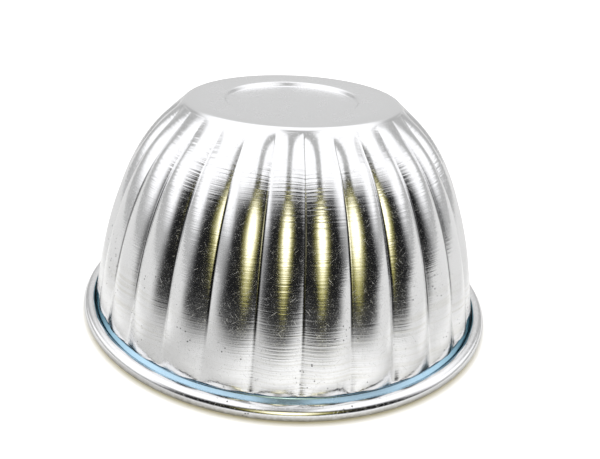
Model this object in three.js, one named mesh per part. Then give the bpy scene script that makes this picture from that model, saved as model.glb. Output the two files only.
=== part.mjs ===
// A fluted jelly mould, standing open side down on its rolled rim.
// Millimetres, +Z up, with the origin on the axis at the foot of the rim.
import * as THREE from "three";

// Overall sizes
const RIM_DIAMETER = 90;
const OVERALL_HEIGHT = 46;
const SHEET = 0.5;

// Rolled rim: the edge of the sheet is curled out, up and over a wire, and flat where it stands
const WIRE_DIAMETER = 1.4;
const WIRE_CLEARANCE = 0.3;
const CURL_END_DEG = 125;
const RIM_FLAT_WIDTH = 1;

// Plain ring between the lobes' feet and the rim: a cove under the feet, then a flare and a bend
const FOOT_HEIGHT = 3.9;
const FOOT_OVERHANG = 0.4;
const COVE_HEIGHT = 3.3;
const COVE_RADIUS = 0.4;
const UNDERCUT_DEG = 35;
const FLARE_WIDTH = 1;
const FLARE_LEAN_DEG = 50;
const BEND_RADIUS = 0.9;

// Fluted wall: one sweeping curve from the lobes' feet to the crown. Its lean is measured from
// upright, and its handles are shares of the distance between its ends.
const FOOT_LEAN_DEG = 9.5;
const CROWN_LEAN_DEG = 49.2;
const FOOT_HANDLE = 0.69;
const CROWN_HANDLE = 0.16;
const LOBE_COUNT = 28;
const LOBE_DEPTH = 1.1;
const FOOT_LOBE_SHARE = 0.45;
const LOBE_FOOT_LENGTH = 5.5;
const LOBE_TIP_LENGTH = 5;

// Flat crown with a rounded edge and a pressed-in disc
const CROWN_DIAMETER = 43;
const CROWN_EDGE_RADIUS = 2.5;
const RECESS_DIAMETER = 28.6;
const RECESS_DEPTH = 0.9;
const RECESS_FILLET = 0.9;

// How finely the curved faces are divided
const COLUMNS_PER_LOBE = 4;
const EDGE_STEPS = 2;
const WALL_STEPS = 7;
const COVE_STEPS = 2;
const BEND_STEPS = 2;
const CURL_STEPS_INSIDE = 2;
const CURL_STEPS_BELOW = 2;
const CURL_STEPS_ABOVE = 3;
const WIRE_SIDES = 8;
const WIRE_STEPS_PER_LOBE = 2;

// Sizes that follow from the ones above
const rimRadius = RIM_DIAMETER / 2;
const curlInside = WIRE_DIAMETER / 2 + WIRE_CLEARANCE;
const curlRadius = curlInside + SHEET;
const curlCentre = rimRadius - curlRadius;
const flatHalfAngle = Math.asin(RIM_FLAT_WIDTH / 2 / curlRadius);
const curlHeight = curlRadius * Math.cos(flatHalfAngle);
const neckRadius = curlCentre - curlInside;
const crownRadius = CROWN_DIAMETER / 2;
const columns = LOBE_COUNT * COLUMNS_PER_LOBE;
const rightAngle = Math.PI / 2;
const wallFoot = new THREE.Vector2(neckRadius - FLARE_WIDTH + FOOT_OVERHANG, FOOT_HEIGHT);
const wallTop = new THREE.Vector2(crownRadius, OVERALL_HEIGHT);
const wallSpan = wallFoot.distanceTo(wallTop);

// A row of the sheet: a point of its outer side in the plane of the axis, the way that side
// faces, and how far the creases have opened there into the valleys at the lobes' feet.
function row(radius, height, facing, opening = 1) {
  return {
    point: new THREE.Vector2(radius, height),
    normal: new THREE.Vector2(Math.cos(facing), Math.sin(facing)),
    opening,
  };
}

// Rows along an arc about a centre. The outer side faces away from the centre of a convex arc
// and towards the centre of a hollow one.
function arcRows(centreRadius, centreHeight, arcRadius, from, to, steps, hollow) {
  const rows = [];
  for (let i = 0; i <= steps; i++) {
    const angle = from + ((to - from) * i) / steps;
    const radius = centreRadius + arcRadius * Math.cos(angle);
    const height = centreHeight + arcRadius * Math.sin(angle);
    rows.push(row(radius, height, hollow ? angle + Math.PI : angle));
  }
  return rows;
}

// A curve that leaves one point and reaches another at given leans from upright.
function leaningCurve(from, fromLean, fromHandle, to, toLean, toHandle) {
  const away = new THREE.Vector2(-Math.sin(fromLean), Math.cos(fromLean));
  const back = new THREE.Vector2(Math.sin(toLean), -Math.cos(toLean));
  return new THREE.CubicBezierCurve(
    from,
    from.clone().addScaledVector(away, fromHandle),
    to.clone().addScaledVector(back, toHandle),
    to,
  );
}

// The wall's curve at a crest, from the lobe's foot up to the crown.
const wallCurve = leaningCurve(
  wallFoot,
  THREE.MathUtils.degToRad(FOOT_LEAN_DEG),
  FOOT_HANDLE * wallSpan,
  wallTop,
  THREE.MathUtils.degToRad(CROWN_LEAN_DEG),
  CROWN_HANDLE * wallSpan,
);

// A row on a curve that runs upwards, facing outwards.
function curveRow(curve, share, opening) {
  const point = curve.getPoint(share);
  const tangent = curve.getTangent(share);
  return row(point.x, point.y, Math.atan2(-tangent.x, tangent.y), opening);
}

// A row of the wall, drawn in by the lobe's depth where it is pressed. A lobe's depth follows
// the radius. It grows from nothing at the lobe's tip, and falls off towards its foot.
function wallRow(share, pressed, tipHeight) {
  const { x, y } = wallCurve.getPoint(share);
  const low = THREE.MathUtils.smoothstep(y - wallFoot.y, 0, LOBE_FOOT_LENGTH);
  const high = 1 - THREE.MathUtils.clamp(1 - (tipHeight - y) / LOBE_TIP_LENGTH, 0, 1) ** 2;
  const ends = high * THREE.MathUtils.lerp(FOOT_LOBE_SHARE, 1, low);
  const depth = (LOBE_DEPTH * ends * x) / wallFoot.x;
  const wall = curveRow(wallCurve, share, 1 - low);
  wall.point.addScaledVector(wall.normal, -pressed * depth);
  return wall;
}

// The crown's middle: a shallow disc whose edge is an S of two equal fillets.
function recessRows() {
  const fillet = Math.max(RECESS_FILLET, RECESS_DEPTH / 2);
  const slope = Math.acos(1 - RECESS_DEPTH / (2 * fillet));
  const rim = RECESS_DIAMETER / 2;
  const run = 2 * fillet * Math.sin(slope);
  const floor = OVERALL_HEIGHT - RECESS_DEPTH;
  return [
    row(0, floor, rightAngle),
    ...arcRows(rim - run, floor + fillet, fillet, -rightAngle, slope - rightAngle, 1, true),
    row(rim, OVERALL_HEIGHT, rightAngle),
  ];
}

// How far up the wall the rounded crown edge runs into it: an arc that touches both the crown's
// plane and the wall, found by halving.
function edgeShare() {
  let low = 0.5;
  let high = 1;
  for (let i = 0; i < 40; i++) {
    const middle = (low + high) / 2;
    const { point, normal } = curveRow(wallCurve, middle);
    if (point.y + CROWN_EDGE_RADIUS * (1 - normal.y) < OVERALL_HEIGHT) low = middle;
    else high = middle;
  }
  return low;
}

// The crown's rounded edge and the wall below it, down to the lobe's foot.
function edgeAndWallRows(pressed) {
  const top = edgeShare();
  const { point, normal } = curveRow(wallCurve, top);
  const centre = point.clone().addScaledVector(normal, -CROWN_EDGE_RADIUS);
  const facing = normal.angle();
  const rows = arcRows(
    centre.x,
    centre.y,
    CROWN_EDGE_RADIUS,
    rightAngle,
    facing,
    EDGE_STEPS,
    false,
  );
  for (let i = 1; i <= WALL_STEPS; i++) {
    rows.push(wallRow(top * (1 - i / WALL_STEPS), pressed, point.y));
  }
  return rows;
}

// Under the lobes' feet the sheet draws in to a cove, flares out and bends down into the rim.
function flareRows() {
  const lean = THREE.MathUtils.degToRad(FLARE_LEAN_DEG);
  const undercut = THREE.MathUtils.degToRad(UNDERCUT_DEG);
  const coveCentre = neckRadius - FLARE_WIDTH + COVE_RADIUS;
  const bendCentre = neckRadius - BEND_RADIUS;
  const run = bendCentre - coveCentre + (BEND_RADIUS + COVE_RADIUS) * Math.cos(lean);
  const drop = run / Math.tan(lean) + (BEND_RADIUS + COVE_RADIUS) * Math.sin(lean);
  const from = Math.PI - undercut;
  const to = Math.PI + lean;
  return [
    ...arcRows(coveCentre, COVE_HEIGHT, COVE_RADIUS, from, to, COVE_STEPS, true),
    ...arcRows(bendCentre, COVE_HEIGHT - drop, BEND_RADIUS, lean, 0, BEND_STEPS, false),
  ];
}

// The curl round the wire: down from the neck, out under it, up, and over to the free edge.
function curlRows() {
  const end = THREE.MathUtils.degToRad(CURL_END_DEG);
  const flatFrom = -rightAngle - flatHalfAngle;
  const flatTo = -rightAngle + flatHalfAngle;
  const curl = (from, to, steps) =>
    arcRows(curlCentre, curlHeight, curlInside, from, to, steps, true);
  return [
    ...curl(-Math.PI, flatFrom, CURL_STEPS_INSIDE),
    ...curl(flatTo, 0, CURL_STEPS_BELOW),
    ...curl(0, end, CURL_STEPS_ABOVE).slice(1),
  ];
}

// The closed section of the sheet at a crest (pressed 0) or at a crease (pressed 1): out along
// the inner side from the axis, round the free edge and back along the outer side.
function sheetSection(pressed) {
  const rows = [
    ...recessRows(),
    ...edgeAndWallRows(pressed),
    ...flareRows(),
    ...curlRows(),
  ];
  const inner = rows.map(({ point, normal, opening }) => ({
    point: point.clone().addScaledVector(normal, -SHEET),
    opening,
  }));
  return [...inner, ...rows.reverse()];
}

// Across a lobe the wall follows an arc from crease to crease: 1 on the crest, 0 in the creases.
// At a lobe's foot the crease opens into a valley.
function lobeHeight(turn, opening) {
  const pitch = (2 * Math.PI) / LOBE_COUNT;
  const crest = wallFoot.x;
  const crease = crest - LOBE_DEPTH;
  const centre = (crest ** 2 - crease ** 2) / (2 * (crest - crease * Math.cos(pitch / 2)));
  const arcRadius = crest - centre;
  const aside = turn - pitch * Math.round(turn / pitch);
  const across = centre * Math.sin(aside);
  const reach = centre * Math.cos(aside) + Math.sqrt(arcRadius ** 2 - across ** 2);
  return Math.max(0, (reach - crease) / LOBE_DEPTH) ** (1 + opening);
}

// The pressed shell: the crest section turned about the axis, then drawn in to the crease
// section between the lobes.
function pressedShell() {
  const crest = sheetSection(0);
  const crease = sheetSection(1);
  const outline = crest.map(({ point }) => point);
  const geometry = new THREE.LatheGeometry(outline, columns);
  const position = geometry.getAttribute("position");
  const place = new THREE.Vector2();
  for (let i = 0; i < position.count; i++) {
    const column = Math.floor(i / outline.length) % columns;
    const turn = (2 * Math.PI * column) / columns;
    const { point, opening } = crest[i % outline.length];
    const pressedPoint = crease[i % outline.length].point;
    place.lerpVectors(pressedPoint, point, lobeHeight(turn, opening));
    position.setXYZ(i, place.x * Math.sin(turn), place.y, place.x * Math.cos(turn));
  }
  geometry.computeVertexNormals();
  const material = new THREE.MeshStandardMaterial({ color: 0xc8cacb, roughness: 0.22, metalness: 1 });
  const mesh = new THREE.Mesh(geometry, material);
  mesh.name = "pressed_shell";
  mesh.rotation.x = rightAngle;
  return mesh;
}

// The wire that the rim is rolled round.
function rimWire() {
  const steps = LOBE_COUNT * WIRE_STEPS_PER_LOBE;
  const geometry = new THREE.TorusGeometry(curlCentre, WIRE_DIAMETER / 2, WIRE_SIDES, steps);
  const material = new THREE.MeshStandardMaterial({ color: 0x8d9094, roughness: 0.4, metalness: 1 });
  const mesh = new THREE.Mesh(geometry, material);
  mesh.name = "rim_wire";
  mesh.position.z = curlHeight;
  return mesh;
}

const mould = new THREE.Group();
mould.add(pressedShell(), rimWire());

export default mould;
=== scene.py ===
"""A fluted jelly mould of pressed aluminium, standing open side down on its rolled rim."""
import math

import bpy
import numpy as np
from mathutils import Matrix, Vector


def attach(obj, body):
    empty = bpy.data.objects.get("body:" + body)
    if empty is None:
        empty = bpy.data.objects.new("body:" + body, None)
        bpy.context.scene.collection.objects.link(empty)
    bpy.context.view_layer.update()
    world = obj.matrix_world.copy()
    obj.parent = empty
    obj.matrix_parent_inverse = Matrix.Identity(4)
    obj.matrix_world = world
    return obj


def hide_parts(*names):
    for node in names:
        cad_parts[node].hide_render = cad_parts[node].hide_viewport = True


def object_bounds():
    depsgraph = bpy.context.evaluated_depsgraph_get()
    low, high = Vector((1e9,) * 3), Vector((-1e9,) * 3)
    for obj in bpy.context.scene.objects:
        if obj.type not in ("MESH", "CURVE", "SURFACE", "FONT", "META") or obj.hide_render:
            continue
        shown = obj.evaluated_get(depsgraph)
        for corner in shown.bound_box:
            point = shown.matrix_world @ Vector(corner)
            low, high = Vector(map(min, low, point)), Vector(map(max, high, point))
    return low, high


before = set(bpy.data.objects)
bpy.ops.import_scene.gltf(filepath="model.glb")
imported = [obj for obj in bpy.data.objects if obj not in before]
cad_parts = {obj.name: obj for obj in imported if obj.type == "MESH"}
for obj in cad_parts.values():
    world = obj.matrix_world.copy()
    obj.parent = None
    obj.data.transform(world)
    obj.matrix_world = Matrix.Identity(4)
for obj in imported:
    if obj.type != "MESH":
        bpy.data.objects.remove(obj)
cad_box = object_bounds()

# Overall sizes in metres; the rim's radius and the height are read from the frame
MM = 0.001
RIM_RADIUS = cad_box[1][0]
HEIGHT = cad_box[1][2]
SHEET = 0.5 * MM

# Rolled rim
WIRE_RADIUS = 0.7 * MM
WIRE_CLEARANCE = 0.3 * MM
CURL_END = math.radians(125)
RIM_FLAT_WIDTH = 1.0 * MM
CURL_INSIDE = WIRE_RADIUS + WIRE_CLEARANCE
CURL_RADIUS = CURL_INSIDE + SHEET
CURL_CENTRE = RIM_RADIUS - CURL_RADIUS
FLAT_HALF_ANGLE = math.asin(RIM_FLAT_WIDTH / 2 / CURL_RADIUS)
CURL_HEIGHT = CURL_RADIUS * math.cos(FLAT_HALF_ANGLE)
NECK_RADIUS = CURL_CENTRE - CURL_INSIDE

# Plain ring between the lobes' feet and the rim: a cove, a flare and a bend
FOOT_HEIGHT = 3.6 * MM
FOOT_OVERHANG = 0.6 * MM
COVE_HEIGHT = 3.1 * MM
COVE_RADIUS = 0.4 * MM
UNDERCUT = math.radians(35)
FLARE_WIDTH = 1.0 * MM
FLARE_LEAN = math.radians(50)
BEND_RADIUS = 0.9 * MM

# Fluted wall: leans from upright, and handles as shares of the distance between its ends
FOOT_LEAN = math.radians(9.5)
CROWN_LEAN = math.radians(49.2)
FOOT_HANDLE = 0.69
CROWN_HANDLE = 0.16
LOBE_COUNT = 28
LOBE_DEPTH = 1.1 * MM
FOOT_LOBE_SHARE = 0.6
LOBE_FOOT_LENGTH = 5.5 * MM
LOBE_TIP_LENGTH = 4.0 * MM
CREASE_FLOOR = 0.03
PITCH = 2 * math.pi / LOBE_COUNT

# Crown
CROWN_RADIUS = 21.5 * MM
CROWN_EDGE_RADIUS = 2.5 * MM
RECESS_RADIUS = 14.3 * MM
RECESS_DEPTH = 0.9 * MM
RECESS_FILLET = 0.9 * MM

WALL_FOOT = np.array([NECK_RADIUS - FLARE_WIDTH + FOOT_OVERHANG, FOOT_HEIGHT])
WALL_TOP = np.array([CROWN_RADIUS, HEIGHT])
WALL_SPAN = math.dist(WALL_FOOT, WALL_TOP)

# Pressing is never quite even: how much creases stray and differ in depth, by chance and at the front
# from left to right, and how much lobe tips differ
SEED = 11
CREASE_STRAY = math.radians(0.3)
FRONT_STRAY = np.radians([0.5, 0.65, 0.65, 0.1, 0.0])
DEPTH_SPREAD = 0.06
FRONT_DEPTH = np.array([1.0, 0.84, 1.0, 1.0, 1.0, 1.2])
FIRST_FRONT = -2
TIP_SPREAD = 0.15

# Mesh fineness; the wall's rows lie closer towards the crown
LOBE_PLACES = -1, -0.94, -0.8, -0.55, -0.28, 0, 0.28, 0.55, 0.8, 0.94, 1
FLOOR_PLACES = 0, 0.7
DISC_STEPS = 4
FILLET_STEPS = 4
RING_STEPS = 2
EDGE_STEPS = 8
WALL_ROWS = 34
WALL_ROW_POWER = 1.3
FOOT_STEPS = 6
COVE_STEPS = 6
BEND_STEPS = 6
NECK_STEPS = 7
CURL_STEPS = 20
WIRE_STEPS = 224
WIRE_SIDES = 16
HALVINGS = 40

# Zones of the sheet, from the axis to its free edge
RECESS, RING, EDGE, WALL, FOOT, FLARE, CURL = range(7)

# Camera, from the photograph: place, turn to the right, tilt down and roll
CAMERA_PLACE = (0.0, -132.9 * MM, 79.1 * MM)
CAMERA_YAW = math.radians(-4.86)
CAMERA_PITCH = math.radians(26.07)
CAMERA_ROLL = math.radians(1.18)
IMAGE_WIDTH = 600
IMAGE_HEIGHT = 459
FOCAL_PIXELS = 653.4
OPTICAL_CENTRE = (233.4, 235.5)
SENSOR_WIDTH = 36.0
CLIP_START = 5 * MM


def smoothstep(value, low, high):
    share = np.clip((value - low) / (high - low), 0, 1)
    return share * share * (3 - 2 * share)


def arc_rows(centre, radius, start, end, steps, hollow=False):
    """Rows (radius, height, facing radius, facing height) along an arc, both ends included."""
    angle = np.linspace(start, end, steps + 1)
    out = np.stack([np.cos(angle), np.sin(angle)], 1)
    facing = -out if hollow else out
    return np.hstack([np.array(centre) + radius * out, facing])


def level_rows(start, end, height, steps):
    """Rows of a level face that looks up, between two radii, both left out."""
    radius = np.linspace(start, end, steps + 2)[1:-1]
    level = np.full_like(radius, height)
    return np.stack([radius, level, 0 * radius, 0 * radius + 1], 1)


def curve_rows(low, low_lean, low_handle, high, high_lean, high_handle, share):
    """Rows on a curve that leaves a low point and reaches a high one at given leans from upright."""
    away = low + low_handle * np.array([-math.sin(low_lean), math.cos(low_lean)])
    back = high + high_handle * np.array([math.sin(high_lean), -math.cos(high_lean)])
    t = np.atleast_1d(share)[:, None]
    s = 1 - t
    point = s**3 * low + 3 * s * s * t * away + 3 * s * t * t * back + t**3 * high
    slope = s * s * (away - low) + 2 * s * t * (back - away) + t * t * (high - back)
    slope /= np.linalg.norm(slope, axis=1)[:, None]
    return np.hstack([point, slope[:, 1:], -slope[:, :1]])


def crest_rows(share):
    """Rows of the wall along a lobe's crest."""
    handles = FOOT_HANDLE * WALL_SPAN, CROWN_HANDLE * WALL_SPAN
    return curve_rows(WALL_FOOT, FOOT_LEAN, handles[0], WALL_TOP, CROWN_LEAN, handles[1], share)


def edge_share():
    """How far up the wall the rounded crown edge runs into it, found by halving."""
    low, high = 0.5, 1.0
    for _ in range(HALVINGS):
        middle = (low + high) / 2
        _, height, _, up = crest_rows(middle)[0]
        if height + CROWN_EDGE_RADIUS * (1 - up) < HEIGHT:
            low = middle
        else:
            high = middle
    return low


EDGE_SHARE = edge_share()


def wall_rows(share, depth, tip_length):
    """Rows of the wall, drawn in by a lobe depth, and how far each lies in a lobe's foot."""
    rows = crest_rows(share)
    tip_height = crest_rows(EDGE_SHARE)[0, 1]
    low = smoothstep(rows[:, 1] - FOOT_HEIGHT, 0, LOBE_FOOT_LENGTH)
    high = 1 - np.clip(1 - (tip_height - rows[:, 1]) / tip_length, 0, 1) ** 2
    ends = high * (FOOT_LOBE_SHARE + (1 - FOOT_LOBE_SHARE) * low)
    drawn_in = depth * ends * rows[:, 0] / WALL_FOOT[0]
    rows[:, :2] -= drawn_in[:, None] * rows[:, 2:]
    return rows, 1 - low


def recess_rows():
    """The pressed-in disc and its S-shaped edge, out to the crown's flat ring."""
    slope = math.acos(1 - RECESS_DEPTH / (2 * RECESS_FILLET))
    foot = RECESS_RADIUS - 2 * RECESS_FILLET * math.sin(slope)
    floor = HEIGHT - RECESS_DEPTH
    up = math.pi / 2
    low_centre = foot, floor + RECESS_FILLET
    high_centre = RECESS_RADIUS, HEIGHT - RECESS_FILLET
    low = arc_rows(low_centre, RECESS_FILLET, -up, slope - up, FILLET_STEPS, hollow=True)
    high = arc_rows(high_centre, RECESS_FILLET, up + slope, up, FILLET_STEPS)
    middle = np.array([[0.0, floor, 0.0, 1.0]])
    return np.concatenate([middle, level_rows(0.0, foot, floor, DISC_STEPS), low, high[1:]])


def flare_rows():
    """The plain ring under the lobes' feet: a cove, then a flare that bends down into the rim."""
    cove = NECK_RADIUS - FLARE_WIDTH + COVE_RADIUS
    bend = NECK_RADIUS - BEND_RADIUS
    run = bend - cove + (BEND_RADIUS + COVE_RADIUS) * math.cos(FLARE_LEAN)
    drop = run / math.tan(FLARE_LEAN) + (BEND_RADIUS + COVE_RADIUS) * math.sin(FLARE_LEAN)
    start, end = math.pi - UNDERCUT, math.pi + FLARE_LEAN
    return np.concatenate([
        arc_rows((cove, COVE_HEIGHT), COVE_RADIUS, start, end, COVE_STEPS, hollow=True),
        arc_rows((bend, COVE_HEIGHT - drop), BEND_RADIUS, FLARE_LEAN, 0, BEND_STEPS),
    ])


def foot_rows(depth):
    """A lobe's rounded foot, drawn in to the cove under it."""
    point = wall_rows(0.0, depth, LOBE_TIP_LENGTH)[0][0, :2]
    cove = flare_rows()[0, :2]
    handle = (FOOT_HEIGHT - cove[1]) / 2
    share = np.linspace(1, 0, FOOT_STEPS + 1)[1:-1]
    return curve_rows(cove, -UNDERCUT, handle, point, FOOT_LEAN, handle, share)


def curl_rows():
    """The curl's hollow side: down from the neck, out under the wire, up, and over to the free edge."""
    centre = (CURL_CENTRE, CURL_HEIGHT)
    down = -math.pi / 2
    return np.concatenate([
        arc_rows(centre, CURL_INSIDE, -math.pi, down - FLAT_HALF_ANGLE, NECK_STEPS, hollow=True),
        arc_rows(centre, CURL_INSIDE, down + FLAT_HALF_ANGLE, CURL_END, CURL_STEPS, hollow=True),
    ])


def sheet_section(depth, tip_length):
    """One side of the sheet from the axis to its free edge, with each row's zone and foot."""
    down = np.linspace(0, 1, WALL_ROWS + 1)[1:] ** WALL_ROW_POWER
    wall, wall_foot = wall_rows(EDGE_SHARE * (1 - down), depth, tip_length)
    radius, height, out, up = crest_rows(EDGE_SHARE)[0]
    centre = (radius - CROWN_EDGE_RADIUS * out, height - CROWN_EDGE_RADIUS * up)
    groups = {
        RECESS: recess_rows(),
        RING: level_rows(RECESS_RADIUS, centre[0], HEIGHT, RING_STEPS),
        EDGE: arc_rows(centre, CROWN_EDGE_RADIUS, math.pi / 2, math.atan2(up, out), EDGE_STEPS),
        WALL: wall,
        FOOT: foot_rows(depth),
        FLARE: flare_rows(),
        CURL: curl_rows(),
    }
    zone = np.concatenate([np.full(len(rows), i) for i, rows in groups.items()])
    foot = np.ones(len(zone))
    foot[zone == WALL] = wall_foot
    return np.concatenate(list(groups.values())), zone, foot


def lobe_height(across):
    """1 on a lobe's crest and 0 at the creases on both sides of it, along an arc."""
    crest = WALL_FOOT[0]
    crease = crest - LOBE_DEPTH
    centre = (crest**2 - crease**2) / (2 * (crest - crease * math.cos(PITCH / 2)))
    aside = np.clip(across, -1, 1) * PITCH / 2
    arc = np.sqrt((crest - centre) ** 2 - (centre * np.sin(aside)) ** 2)
    return np.maximum(0, (centre * np.cos(aside) + arc - crease) / LOBE_DEPTH)


def places_across():
    """Columns of a lobe from crease to crease, as shares of half its pitch, close at a crease's floor."""
    lobe = np.array(LOBE_PLACES) * (1 - CREASE_FLOOR)
    crease = -1 + np.array(FLOOR_PLACES) * CREASE_FLOOR
    return np.concatenate([crease, lobe, -crease[:0:-1]])


def new_piece(name, vertices, faces, smooth=True):
    mesh = bpy.data.meshes.new(name)
    mesh.from_pydata(vertices.tolist(), [], faces)
    mesh.polygons.foreach_set("use_smooth", [smooth] * len(mesh.polygons))
    mesh.update()
    piece = bpy.data.objects.new(name, mesh)
    bpy.context.scene.collection.objects.link(piece)
    return piece


def pressed_rings():
    """Every column of the sheet as rows, and the turn it stands at, lofted from crest to crease."""
    rng = np.random.default_rng(SEED)
    stray = rng.uniform(-CREASE_STRAY, CREASE_STRAY, LOBE_COUNT)
    stray[FIRST_FRONT + np.arange(len(FRONT_STRAY))] = FRONT_STRAY
    depth = LOBE_DEPTH * (1 + DEPTH_SPREAD * rng.uniform(-1, 1, LOBE_COUNT))
    depth[FIRST_FRONT + np.arange(len(FRONT_DEPTH))] = LOBE_DEPTH * FRONT_DEPTH
    tips = LOBE_TIP_LENGTH * (1 + TIP_SPREAD * rng.uniform(-1, 1, LOBE_COUNT))
    crest, zone, foot = sheet_section(0, LOBE_TIP_LENGTH)
    creases = [sheet_section(d, t)[0] for d, t in zip(depth, tips)]
    across = places_across()
    height = lobe_height(across / (1 - CREASE_FLOOR))[:, None] ** (1 + foot)
    side = ((1 + across) / 2)[:, None, None]
    rings, turns = [], []
    for lobe in range(LOBE_COUNT):
        after = (lobe + 1) % LOBE_COUNT
        left = (lobe - 0.5) * PITCH + stray[lobe]
        right = (lobe + 0.5) * PITCH + stray[after]
        crease = creases[lobe][None] * (1 - side) + creases[after][None] * side
        rings.append(crease + (crest[None] - crease) * height[:, :, None])
        turns.append((left + right) / 2 + across * (right - left) / 2)
    return np.concatenate(rings), np.concatenate(turns), crest, zone


def fluted_shell():
    """The pressed sheet, with its inner and its outer side and its free edge."""
    rings, turns, crest, zone = pressed_rings()
    outer = rings[:, :, :2]
    inner = outer - SHEET * rings[:, :, 2:]
    section = np.concatenate([inner[:, 1:], outer[:, :0:-1]], 1)
    columns, rows = section.shape[:2]
    x = section[:, :, 0] * np.sin(turns)[:, None]
    y = -section[:, :, 0] * np.cos(turns)[:, None]
    points = np.stack([x, y, section[:, :, 1]], 2).reshape(-1, 3)
    poles = np.array([[0, 0, inner[0, 0, 1]], [0, 0, outer[0, 0, 1]]])
    faces = []
    for c in range(columns):
        here, there = c * rows, (c + 1) % columns * rows
        faces += [(here + r, there + r, there + r + 1, here + r + 1) for r in range(rows - 1)]
        faces.append((here, columns * rows, there))
        faces.append((here + rows - 1, there + rows - 1, columns * rows + 1))
    piece = new_piece("fluted_shell", np.concatenate([points, poles]), faces)
    add_masks(piece, crest[:, :2], zone)
    return piece


# How much painted shade the sides of a crease's floor hold, and how close to them a column counts as one
FLOOR_SIDE_SHADE = 0.6
FLOOR_SIDE_REACH = 0.001


def add_masks(piece, crest, zone):
    """Where a vertex lies on the sheet: its way along from the axis, its zone, and if in a crease."""
    along = np.concatenate([[0], np.cumsum(np.hypot(*np.diff(crest, axis=0).T))])
    across = places_across()
    anywhere = np.ones(len(across))
    beside = np.abs(across) - 1 + CREASE_FLOOR
    side = np.where(beside > -FLOOR_SIDE_REACH, FLOOR_SIDE_SHADE, 0.0)
    floor = np.where(beside > FLOOR_SIDE_REACH, 1.0, side)
    masks = {
        "along": (along, along, anywhere),
        "crown": (zone < EDGE, zone < EDGE, anywhere),
        "wall": (zone == WALL, zone == WALL, anywhere),
        "bead": (zone == CURL, 0 * zone, anywhere),
        "groove": (0 * zone, zone == FLARE, anywhere),
        "crease": (0 * zone, zone == WALL, floor),
    }
    for name, (inner, outer, column) in masks.items():
        ring = np.concatenate([inner[1:], outer[:0:-1]])
        values = np.tile(np.outer(column, ring).ravel(), LOBE_COUNT)
        values = np.concatenate([values, [inner[0], outer[0]]])
        piece.data.attributes.new(name, "FLOAT", "POINT").data.foreach_set("value", values)


def wire_ring():
    """The wire inside the rolled rim."""
    turn = np.linspace(0, 2 * math.pi, WIRE_STEPS, endpoint=False)[:, None]
    side = np.linspace(0, 2 * math.pi, WIRE_SIDES, endpoint=False)[None]
    radius = CURL_CENTRE + WIRE_RADIUS * np.cos(side)
    height = CURL_HEIGHT + WIRE_RADIUS * np.sin(side) + 0 * turn
    points = np.stack([radius * np.cos(turn), radius * np.sin(turn), height], 2).reshape(-1, 3)
    faces = []
    for t in range(WIRE_STEPS):
        for s in range(WIRE_SIDES):
            here, there = t * WIRE_SIDES, (t + 1) % WIRE_STEPS * WIRE_SIDES
            after = (s + 1) % WIRE_SIDES
            faces.append((here + s, there + s, there + after, here + after))
    return new_piece("rim_wire_ring", points, faces)


class Nodes:
    """Short ways to add nodes to a tree and join them."""

    def __init__(self, tree):
        self.tree = tree
        tree.nodes.clear()

    def set(self, socket, value):
        if isinstance(value, bpy.types.NodeSocket):
            self.tree.links.new(value, socket)
        else:
            socket.default_value = value

    def add(self, kind, inputs=None, **settings):
        node = self.tree.nodes.new(kind)
        for name, value in settings.items():
            setattr(node, name, value)
        for name, value in (inputs or {}).items():
            self.set(node.inputs[name], value)
        return node

    def math(self, operation, first, second=0.0):
        return self.add("ShaderNodeMath", {0: first, 1: second}, operation=operation).outputs[0]

    def product(self, first, *others):
        for other in others:
            first = self.math("MULTIPLY", first, other)
        return first

    def ease(self, value, low, high, start=0.0, end=1.0):
        """Goes smoothly from start to end while value goes from low to high."""
        inputs = {"Value": value, "From Min": low, "From Max": high, "To Min": start, "To Max": end}
        node = self.add("ShaderNodeMapRange", inputs, interpolation_type="SMOOTHSTEP")
        return node.outputs["Result"]

    def fade(self, value, low, high):
        """Goes smoothly from 1 to 0 while value goes from low to high."""
        return self.ease(value, low, high, 1.0, 0.0)

    def mix(self, share, first, second):
        """A mix of two colours, which are this node's sockets 6 and 7, with its result at 2."""
        inputs = {0: share, 6: first, 7: second}
        return self.add("ShaderNodeMix", inputs, data_type="RGBA").outputs[2]

    def attribute(self, name):
        return self.add("ShaderNodeAttribute", attribute_name=name).outputs["Fac"]

    def noise(self, vector, scale, detail=2.0, roughness=0.5):
        inputs = {"Vector": vector, "Scale": scale, "Detail": detail, "Roughness": roughness}
        return self.add("ShaderNodeTexNoise", inputs).outputs["Fac"]

    def pattern(self, vector, noise, eased):
        """Noise, eased from one range of values to another."""
        return self.ease(self.noise(vector, *noise), *eased)

    def finish(self, shader):
        output = "ShaderNodeOutputWorld" if shader.type == "BACKGROUND" else "ShaderNodeOutputMaterial"
        self.add(output, {"Surface": shader.outputs[0]})


def new_material(name):
    material = bpy.data.materials.new(name)
    material.use_nodes = True
    return material, Nodes(material.node_tree)


def grey(level):
    return (level, level, level, 1.0)


# Finish of the sheet in linear colours, with painted shade under the bead and in the creases, and a
# painted blue reflection in the groove that turns to painted shade away from the front
BRIGHT = (0.86, 0.862, 0.866, 1)
STREAKED = (0.77, 0.765, 0.735, 1)
BEAD_SHADE = (0.52, 0.5, 0.44, 1)
PITTED = grey(0.15)
CREASE_SHADE = grey(0.05)
GROOVE_REFLECTION = (0.5, 0.71, 0.86, 1)
GROOVE_SHADE = (0.1, 0.27, 0.35, 1)

# Where a finish or a painted shade starts or ends: heights in metres, and for the groove's painted shade
# the turn from the front in degrees
BEAD_SHADE_TOP = 1.0 * MM, 1.9 * MM
STREAK_TOP = 14 * MM, 20 * MM
PIT_TOP = 18 * MM, 24 * MM
CREASE_SHADE_FOOT = 10 * MM, 17 * MM
CREASE_SHADE_TOP = 33 * MM, 38 * MM
FINE_FOOT = 6 * MM, 22 * MM, 0.7, 1.0
COARSE_FOOT = 28 * MM, 36 * MM
GROOVE_SHADE_TURN = 30.0, 75.0

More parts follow.
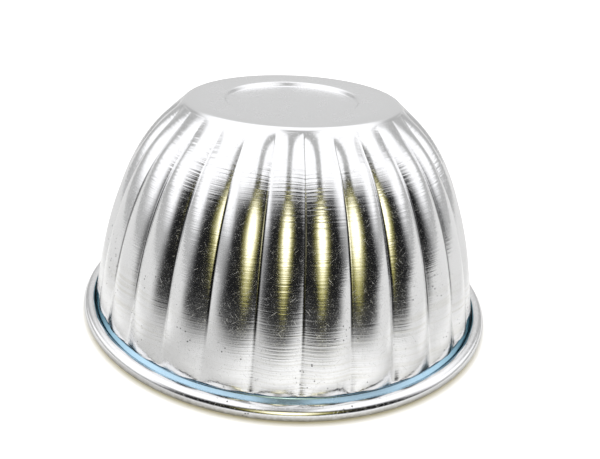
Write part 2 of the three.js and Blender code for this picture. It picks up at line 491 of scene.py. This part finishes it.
# Patterns: scale per metre, detail and roughness of the noise, and the range that it is eased from and to
PATCHES = (90.0, 1.0, 0.5), (0.35, 0.65, 0.3, 1.0)
SPECKS = (5200.0, 1.0, 0.5), (0.55, 0.75, 0.0, 0.5)
MOTTLE = (900.0, 3.0, 0.7), (0.35, 0.6, 0.45, 1.0)
SHEEN = (400.0, 3.0, 0.7), (0.3, 0.7, 0.11, 0.18)
PIT_CLUSTERS = (130.0, 0.0, 0.5), (0.58, 0.64)
PIT_SCALE = 1500.0
PIT_SIZE = 0.15, 0.27
PIT_CHOICE = 0.6
DENTS = 130.0, 1.0

# Turning lines as stretch and scale, and scratches as angle, length and width
LINE_NOISE = 1.5, 0.6
FINE_LINES = 70.0, 2900.0
COARSE_LINES = 25.0, 1700.0
STREAK_LINES = 60.0, 1500.0
STREAK_EDGE = 0.45, 0.7
SCRATCH_NOISE = (1.0, 0.0, 0.5), (0.75, 0.83)
SCRATCHES = (
    (math.radians(35), 2.4 * MM, 0.12 * MM),
    (math.radians(-52), 2.0 * MM, 0.12 * MM),
)
WALL_MEAN_RADIUS = 40 * MM

# Relief of the surface in metres, and what dull marks and satin zones add to its roughness
DENT_RELIEF = 0.04 * MM
FINE_RELIEF = 0.032 * MM
COARSE_RELIEF = 0.06 * MM
DULL_ROUGHNESS = 0.4
SATIN_ROUGHNESS = 0.1


def turning_lines(n, place, stretch, scale):
    """Lines round the axis: noise that is stretched that way and tight along the sheet."""
    parts = n.add("ShaderNodeSeparateXYZ", {0: place}).outputs
    around = [n.math("DIVIDE", parts[axis], stretch) for axis in "XY"]
    inputs = {0: around[0], 1: around[1], 2: n.attribute("along")}
    vector = n.add("ShaderNodeCombineXYZ", inputs).outputs[0]
    return n.noise(vector, scale, *LINE_NOISE)


def scratches(n, place, angle, length, width):
    """Sparse straight scratches at one angle to the turning lines."""
    parts = n.add("ShaderNodeSeparateXYZ", {0: place}).outputs
    turn = n.math("ARCTAN2", parts["X"], parts["Y"])
    around = n.math("MULTIPLY", turn, WALL_MEAN_RADIUS)
    along = n.attribute("along")
    across = math.cos(angle), math.sin(angle)
    first = n.math("MULTIPLY", around, across[0] / length)
    first = n.math("ADD", first, n.math("MULTIPLY", along, across[1] / length))
    second = n.math("MULTIPLY", along, across[0] / width)
    second = n.math("SUBTRACT", second, n.math("MULTIPLY", around, across[1] / width))
    vector = n.add("ShaderNodeCombineXYZ", {0: first, 1: second}).outputs[0]
    return n.pattern(vector, *SCRATCH_NOISE)


def pits(n, place):
    """Small dots in some of the cells of a cell pattern, in loose clusters."""
    cells = n.add("ShaderNodeTexVoronoi", {"Vector": place, "Scale": PIT_SCALE}).outputs
    dots = n.fade(cells["Distance"], *PIT_SIZE)
    chosen = n.math("GREATER_THAN", cells["Color"], PIT_CHOICE)
    return n.product(dots, chosen, n.pattern(place, *PIT_CLUSTERS))


def sheet_colour(n, place, height, worn, patches):
    """Streaked, pitted bright metal, painted shade under the bead and in creases, and a painted blue
    reflection in the groove.
    """
    streaks = n.ease(turning_lines(n, place, *STREAK_LINES), *STREAK_EDGE)
    streaks = n.product(streaks, patches, n.fade(height, *STREAK_TOP))
    colour = n.mix(streaks, BRIGHT, STREAKED)
    # Painted shade on the underside of the bead, where it mirrors the floor's shadow, broken by a random
    # mottle
    bead_shade = n.product(n.attribute("bead"), n.fade(height, *BEAD_SHADE_TOP), n.pattern(place, *MOTTLE))
    colour = n.mix(bead_shade, colour, BEAD_SHADE)
    spots = n.product(pits(n, place), worn, n.fade(height, *PIT_TOP))
    colour = n.mix(spots, colour, PITTED)
    # Painted shade in the creases of the wall, between two heights
    crease_shade = n.product(n.fade(height, *CREASE_SHADE_TOP), n.attribute("crease"), n.ease(height, *CREASE_SHADE_FOOT))
    colour = n.mix(crease_shade, colour, CREASE_SHADE)
    # The groove is painted with a blue reflection, which turns to a dark teal painted shade away from the
    # front
    behind = n.ease(n.math("ABSOLUTE", direction_angles(n, place)[0]), *GROOVE_SHADE_TURN)
    return n.mix(n.attribute("groove"), colour, n.mix(behind, GROOVE_REFLECTION, GROOVE_SHADE))


def sheet_roughness(n, place, worn):
    """An uneven sheen, duller at scratches and specks, and satin on the crown and in the groove."""
    marks = n.math("ADD", *[scratches(n, place, *mark) for mark in SCRATCHES])
    dull = n.product(n.math("MAXIMUM", marks, n.pattern(place, *SPECKS)), worn)
    roughness = n.pattern(place, *SHEEN)
    roughness = n.math("ADD", roughness, n.math("MULTIPLY", dull, DULL_ROUGHNESS))
    for zone in ("crown", "groove"):
        satin = n.math("MULTIPLY", n.attribute(zone), SATIN_ROUGHNESS)
        roughness = n.math("ADD", roughness, satin)
    return roughness


def bumped(n, height, distance, below=None):
    inputs = {"Height": height, "Distance": distance, "Strength": 1.0}
    if below:
        inputs["Normal"] = below
    return n.add("ShaderNodeBump", inputs).outputs[0]


def sheet_normal(n, place, height, patches):
    """Faint dents, fine turning lines on the wall and coarse ones near the crown."""
    fine = n.product(turning_lines(n, place, *FINE_LINES), n.ease(height, *FINE_FOOT), patches)
    coarse = n.product(turning_lines(n, place, *COARSE_LINES), n.ease(height, *COARSE_FOOT), patches)
    normal = bumped(n, n.noise(place, *DENTS), DENT_RELIEF)
    normal = bumped(n, fine, FINE_RELIEF, normal)
    return bumped(n, coarse, COARSE_RELIEF, normal)


def aluminium():
    """Bright pressed aluminium with turning lines, small wear, painted shade, and a satin groove with a
    painted blue reflection.
    """
    material, n = new_material("pressed_aluminium")
    place = n.add("ShaderNodeTexCoord").outputs["Object"]
    height = n.add("ShaderNodeSeparateXYZ", {0: place}).outputs["Z"]
    worn = n.math("MAXIMUM", n.attribute("wall"), n.attribute("bead"))
    patches = n.product(n.pattern(place, *PATCHES), n.attribute("wall"))
    n.finish(n.add("ShaderNodeBsdfPrincipled", {
        "Base Color": sheet_colour(n, place, height, worn, patches),
        "Metallic": 1.0,
        "Roughness": sheet_roughness(n, place, worn),
        "Normal": sheet_normal(n, place, height, patches),
    }))
    return material


# Finish of the wire: its grain, two linear colours and its roughness, eased from and to a range
WIRE_GRAIN = 900.0, 3.0, 0.6
WIRE_DARK = (0.4, 0.41, 0.42, 1)
WIRE_PALE = (0.62, 0.63, 0.64, 1)
WIRE_ROUGHNESS = 0.3, 0.7, 0.3, 0.5


def drawn_wire():
    """Plain drawn steel: dull, with a faint grain."""
    material, n = new_material("drawn_steel_wire")
    place = n.add("ShaderNodeTexCoord").outputs["Object"]
    grain = n.noise(place, *WIRE_GRAIN)
    n.finish(n.add("ShaderNodeBsdfPrincipled", {
        "Base Color": n.mix(grain, WIRE_DARK, WIRE_PALE),
        "Metallic": 1.0,
        "Roughness": n.ease(grain, *WIRE_ROUGHNESS),
    }))
    return material


def direction_angles(n, vector):
    """Azimuth, 0 towards -Y and 90 towards +X, and the angles towards +Z, +X and +Y, all in degrees."""
    parts = n.add("ShaderNodeSeparateXYZ", {0: vector}).outputs
    azimuth = n.math("ARCTAN2", parts["X"], n.math("MULTIPLY", parts["Y"], -1.0))
    angles = [azimuth] + [n.math("ARCSINE", parts[axis]) for axis in "ZXY"]
    return [n.math("DEGREES", angle) for angle in angles]


def oval(n, azimuth, elevation, centre, half_size, soft, power, taper=1.0):
    """1 inside an oval of directions and 0 outside it; a high power squares it, a taper narrows it."""
    across = n.math("DIVIDE", n.math("SUBTRACT", azimuth, centre[0]), half_size[0])
    across = n.math("ABSOLUTE", n.math("DIVIDE", across, taper))
    upward = n.math("DIVIDE", n.math("SUBTRACT", elevation, centre[1]), half_size[1])
    upward = n.math("ABSOLUTE", upward)
    total = n.math("ADD", n.math("POWER", across, power), n.math("POWER", upward, power))
    return n.fade(n.math("POWER", total, 1 / power), 1 - soft, 1 + soft)


# The room, in degrees and linear colours: grey walls that darken to the sides, white soft boxes overhead
# with a grey gap between them that ends behind, and white boxes at both sides
ROOM_GREY = 0.69, 0.5
ROOM_EDGE = 24.0, 36.0
BOX_WHITE = (1.25, 1.25, 1.27, 1)
BOX_EDGE = 30.0, 44.0
GAP_GREY = 0.5
GAP_CENTRE = 5.0
GAP_EDGE = 6.0, 10.0
GAP_END = 4.0, 20.0
SIDE_EDGE = 44.0, 54.0
SIDE_FOOT = 8.0, 20.0

# Its front: dark ovals, and over them a warm lamp that narrows downwards, each as a centre, half sizes,
# softness and colour
DARK_POWER = 3.0
DARK = (
    ((10, 12), (68, 37), 0.25, (0.012, 0.012, 0.013, 1)),
    ((6, 41), (16, 17), 0.3, (0.02, 0.02, 0.021, 1)),
)
LAMP_POWER = 2.0
LAMP_TAPER = -15.0, 30.0, 0.25, 1.0
LAMP = (
    ((8, 22), (19, 19), 0.8, (0.8, 0.74, 0.2, 1)),
    ((8, 25), (13, 13), 0.7, (2.2, 2.1, 1.7, 1)),
)


def studio_world():
    """A grey room with white boxes overhead and at both sides, and a dark front with a warm lamp in it."""
    world = bpy.data.worlds.new("studio")
    bpy.context.scene.world = world
    world.use_nodes = True
    n = Nodes(world.node_tree)
    direction = n.add("ShaderNodeTexCoord").outputs["Generated"]
    azimuth, elevation, sideways, backward = direction_angles(n, direction)
    aside = n.math("ABSOLUTE", sideways)
    off_gap = n.math("ABSOLUTE", n.math("SUBTRACT", sideways, GAP_CENTRE))
    walls = n.mix(n.ease(aside, *ROOM_EDGE), *map(grey, ROOM_GREY))
    whole = n.math("MAXIMUM", n.ease(off_gap, *GAP_EDGE), n.ease(backward, *GAP_END))
    ceiling = n.mix(whole, grey(GAP_GREY), BOX_WHITE)
    colour = n.mix(n.ease(elevation, *BOX_EDGE), walls, ceiling)
    sides = n.product(n.ease(aside, *SIDE_EDGE), n.ease(elevation, *SIDE_FOOT))
    colour = n.mix(sides, colour, BOX_WHITE)
    downward = n.ease(elevation, *LAMP_TAPER)
    for power, taper, ovals in ((DARK_POWER, 1.0, DARK), (LAMP_POWER, downward, LAMP)):
        for centre, half_size, soft, tint in ovals:
            share = oval(n, azimuth, elevation, centre, half_size, soft, power, taper)
            colour = n.mix(share, colour, tint)
    seen = n.add("ShaderNodeLightPath").outputs["Is Camera Ray"]
    shown = n.mix(seen, colour, grey(1.0))
    n.finish(n.add("ShaderNodeBackground", {"Color": shown, "Strength": 1.0}))


# The floor: half its width, its paper, the glow that keeps it white, the tints of a painted shadow under
# the rim, and the shade ahead that the metal mirrors
FLOOR_HALF = 1.5
PAPER = grey(0.8)
GLOW = grey(0.68)
SHADOW_FRONT = (0.22, 0.19, 0.1, 1)
SHADOW_SIDE = grey(0.3)
SHADE = grey(0.035)

# Where these lie, by turn from the front in degrees and by distance from the axis in metres, and how much
# of the glow the metal mirrors near the rim, in front and beside
SHADOW_TURN = 50.0, 85.0
SHADOW_EDGE = RIM_RADIUS - 0.6 * MM, RIM_RADIUS + 1.4 * MM
SHADE_TURN = 45.0, 70.0
SHADE_START = 50 * MM, 150 * MM
GLOW_NEAR = 46 * MM, 56 * MM, 0.3, 1.0
GLOW_LEFT = -40.0, 10.0, 0.0, 0.75
GLOW_RIGHT = 15.0, 60.0, 1.0, 0.22
GLOW_BESIDE = 45.0, 62.0, 0.0, 0.5
GLOW_FAR = 55 * MM, 85 * MM, 1.0, 0.25


def white_paper():
    """Paper that looks white with a soft shadow and a painted shadow at the rim, and that the metal
    mirrors in part, with a dark front.
    """
    material, n = new_material("white_paper")
    place = n.add("ShaderNodeTexCoord").outputs["Object"]
    parts = n.add("ShaderNodeSeparateXYZ", {0: place}).outputs
    path = n.add("ShaderNodeLightPath").outputs
    azimuth = direction_angles(n, place)[0]
    turned = n.math("ABSOLUTE", azimuth)
    distance = n.math("SQRT", n.math("ADD", *[n.math("POWER", parts[axis], 2.0) for axis in "XY"]))

    front = n.product(n.ease(azimuth, *GLOW_LEFT), n.ease(azimuth, *GLOW_RIGHT))
    beside = n.product(n.ease(turned, *GLOW_BESIDE), n.ease(distance, *GLOW_FAR))
    near = n.ease(distance, *GLOW_NEAR)
    mirrored = n.product(near, path["Is Glossy Ray"], n.math("MAXIMUM", front, beside))
    seen = n.math("MAXIMUM", path["Is Camera Ray"], mirrored)
    # Painted shadow at the rim: close to it the glow turns tan in front and grey at the sides
    under = n.mix(n.ease(turned, *SHADOW_TURN), SHADOW_FRONT, SHADOW_SIDE)
    tint = n.mix(n.ease(distance, *SHADOW_EDGE), under, GLOW)

    paper = n.add("ShaderNodeBsdfDiffuse", {"Color": PAPER})
    glow = n.add("ShaderNodeEmission", {"Color": tint, "Strength": seen})
    lit = n.add("ShaderNodeAddShader", {0: paper.outputs[0], 1: glow.outputs[0]})
    dark = n.add("ShaderNodeEmission", {"Color": SHADE, "Strength": 1.0})
    ahead = n.ease(n.math("MULTIPLY", parts["Y"], -1.0), *SHADE_START)
    shade = n.product(n.fade(turned, *SHADE_TURN), ahead, path["Is Glossy Ray"])
    n.finish(n.add("ShaderNodeMixShader", {0: shade, 1: lit.outputs[0], 2: dark.outputs[0]}))
    return material


def white_floor():
    """A plain white surface for the mould to stand on."""
    half = FLOOR_HALF
    corners = np.array([[-half, -half, 0], [half, -half, 0], [half, half, 0], [-half, half, 0]])
    floor = new_piece("floor", corners, [(0, 1, 2, 3)], smooth=False)
    floor.data.materials.append(white_paper())


def photo_camera():
    """The camera at the photograph's place, with its optical centre off the middle of the frame."""
    data = bpy.data.cameras.new("camera")
    data.sensor_fit = "HORIZONTAL"
    data.sensor_width = SENSOR_WIDTH
    data.lens = FOCAL_PIXELS / IMAGE_WIDTH * SENSOR_WIDTH
    data.shift_x = (IMAGE_WIDTH / 2 - OPTICAL_CENTRE[0]) / IMAGE_WIDTH
    data.shift_y = (OPTICAL_CENTRE[1] - IMAGE_HEIGHT / 2) / IMAGE_WIDTH
    data.clip_start = CLIP_START
    camera = bpy.data.objects.new("camera", data)
    bpy.context.scene.collection.objects.link(camera)
    turn = Matrix.Rotation(-CAMERA_YAW, 4, "Z")
    tilt = Matrix.Rotation(math.pi / 2 - CAMERA_PITCH, 4, "X")
    roll = Matrix.Rotation(CAMERA_ROLL, 4, "Z")
    camera.matrix_world = Matrix.Translation(CAMERA_PLACE) @ turn @ tilt @ roll
    bpy.context.scene.camera = camera


def dress(piece, node, material):
    """A fine piece takes the place of a frame node and gets its finish."""
    piece.data.materials.append(material)
    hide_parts(node)
    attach(piece, "root")


bpy.context.scene.view_settings.view_transform = "Standard"
photo_camera()
studio_world()
white_floor()
dress(fluted_shell(), "pressed_shell", aluminium())
dress(wire_ring(), "rim_wire", drawn_wire())
